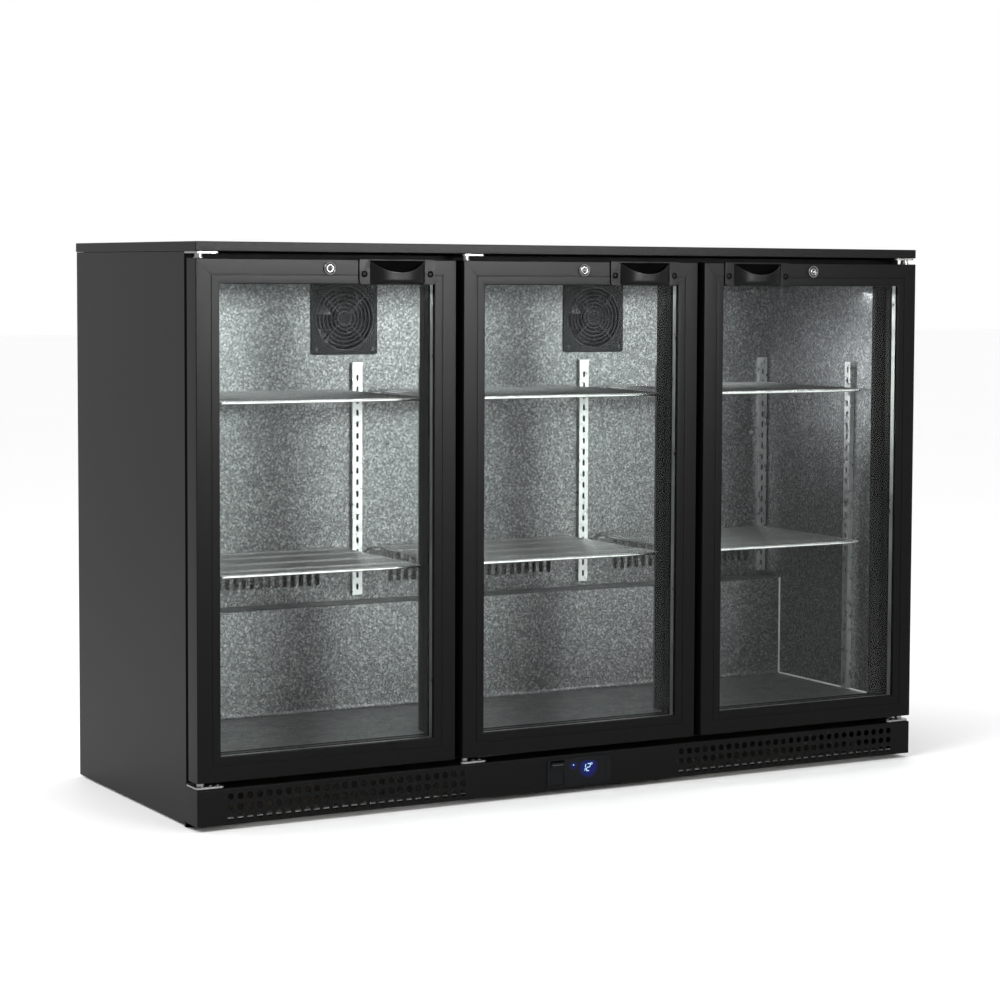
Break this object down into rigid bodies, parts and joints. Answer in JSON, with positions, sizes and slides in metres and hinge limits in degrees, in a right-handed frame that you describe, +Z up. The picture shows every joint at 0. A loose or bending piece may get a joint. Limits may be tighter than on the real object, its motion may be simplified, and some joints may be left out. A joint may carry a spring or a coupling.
{
  "type": "undercounter refrigerator",
  "caption": "Black back-bar refrigerator with hinged glass doors, wire shelves, recessed finger-cup handles, door locks, a perforated kick panel and a temperature display.",
  "frame": {"origin": "on the floor under the centre of the overall box, handles included", "axes": "+Z up, +X to the right seen from the front, the doors face -Y"},
  "size_m": [1.35, 0.545, 0.9],
  "materials": {
    "cabinet_black": "satin black powder coat with fine orange peel",
    "door_frame_black": "satin black anodised look, mitred corners",
    "galvanised": "bare galvanised sheet",
    "liner_aluminium": "stucco embossed aluminium",
    "shelf_wire": "bright zinc or chrome plated wire",
    "glass": "clear double glazing",
    "gasket": "matt black seal",
    "handle_black": "fine textured moulded black plastic",
    "black_plastic": "black plastic",
    "control_black": "gloss black bezel",
    "display": "dark blue display with lit digits",
    "led": "white LED strip",
    "lock_chrome": "polished chrome",
    "foam": "rigid polyurethane foam",
    "fins": "aluminium fins",
    "compressor_black": "black stove enamel",
    "rubber_foot": "black rubber"
  },
  "bodies": {
    "cabinet": {"worktop": "cabinet_black", "side_panel_left": "cabinet_black", "side_panel_right": "cabinet_black", "back_panel": "galvanised", "base_pan": "galvanised", "insulation": "foam", "liner": "liner_aluminium", "face_frame": "black_plastic", "kick_panel": "cabinet_black", "control_bezel": "control_black", "display_module": "display", "light_bar": "led", "foot_front_left": "rubber_foot", "foot_front_right": "rubber_foot", "foot_rear_left": "rubber_foot", "foot_rear_right": "rubber_foot", "hinge_1_upper": "galvanised", "hinge_1_lower": "galvanised", "hinge_2_upper": "galvanised", "hinge_2_lower": "galvanised", "hinge_3_upper": "galvanised", "hinge_3_lower": "galvanised", "shelf_1_lower": "shelf_wire", "shelf_1_upper": "shelf_wire", "shelf_2_lower": "shelf_wire", "shelf_2_upper": "shelf_wire", "shelf_3_lower": "shelf_wire", "shelf_3_upper": "shelf_wire", "upright_left": "shelf_wire", "upright_right": "shelf_wire", "upright_mullion_1": "shelf_wire", "upright_mullion_2": "shelf_wire", "evaporator_cover": "liner_aluminium", "evaporator_coil": "fins", "fan_guard_left": "black_plastic", "fan_guard_right": "black_plastic", "compressor": "compressor_black", "condenser": "fins"},
    "door_1": {"door_1_frame": "door_frame_black", "door_1_glass": "glass", "door_1_gasket": "gasket", "door_1_handle": "handle_black", "door_1_lock_barrel": "lock_chrome"},
    "door_1_lock": {"door_1_lock_plug": "lock_chrome"},
    "door_2": {"door_2_frame": "door_frame_black", "door_2_glass": "glass", "door_2_gasket": "gasket", "door_2_handle": "handle_black", "door_2_lock_barrel": "lock_chrome"},
    "door_2_lock": {"door_2_lock_plug": "lock_chrome"},
    "door_3": {"door_3_frame": "door_frame_black", "door_3_glass": "glass", "door_3_gasket": "gasket", "door_3_handle": "handle_black", "door_3_lock_barrel": "lock_chrome"},
    "door_3_lock": {"door_3_lock_plug": "lock_chrome"},
    "switch_rocker": {"light_switch": "control_black"},
    "fan_left": {"evaporator_fan_left": "black_plastic"},
    "fan_right": {"evaporator_fan_right": "black_plastic"},
    "fan_condenser": {"condenser_fan": "black_plastic"}
  },
  "joints": [
    {"name": "door_1_hinge", "type": "hinge", "parent": "cabinet", "child": "door_1", "pos_m": [-0.663, -0.2395, 0.475], "axis": [0, 0, -1], "range_deg": [0, 95]},
    {"name": "door_1_lock_turn", "type": "hinge", "parent": "door_1", "child": "door_1_lock", "pos_m": [-0.4545, -0.2575, 0.8605], "axis": [0, 1, 0], "range_deg": [0, 90]},
    {"name": "door_2_hinge", "type": "hinge", "parent": "cabinet", "child": "door_2", "pos_m": [-0.2085, -0.2395, 0.475], "axis": [0, 0, -1], "range_deg": [0, 95]},
    {"name": "door_2_lock_turn", "type": "hinge", "parent": "door_2", "child": "door_2_lock", "pos_m": [0, -0.2575, 0.8605], "axis": [0, 1, 0], "range_deg": [0, 90]},
    {"name": "door_3_hinge", "type": "hinge", "parent": "cabinet", "child": "door_3", "pos_m": [0.663, -0.2395, 0.475], "axis": [0, 0, 1], "range_deg": [0, 95]},
    {"name": "door_3_lock_turn", "type": "hinge", "parent": "door_3", "child": "door_3_lock", "pos_m": [0.4545, -0.2575, 0.8605], "axis": [0, 1, 0], "range_deg": [0, 90]},
    {"name": "switch_tilt", "type": "hinge", "parent": "cabinet", "child": "switch_rocker", "pos_m": [-0.0455, -0.2515, 0.036], "axis": [-1, 0, 0], "range_deg": [0, 16]},
    {"name": "fan_left_spin", "type": "hinge", "parent": "cabinet", "child": "fan_left", "pos_m": [-0.247, 0.1525, 0.776], "axis": [0, 1, 0], "continuous": true},
    {"name": "fan_right_spin", "type": "hinge", "parent": "cabinet", "child": "fan_right", "pos_m": [0.247, 0.1525, 0.776], "axis": [0, 1, 0], "continuous": true},
    {"name": "fan_condenser_spin", "type": "hinge", "parent": "cabinet", "child": "fan_condenser", "pos_m": [0.194, 0.19335, 0.118], "axis": [1, 0, 0], "continuous": true}
  ]
}
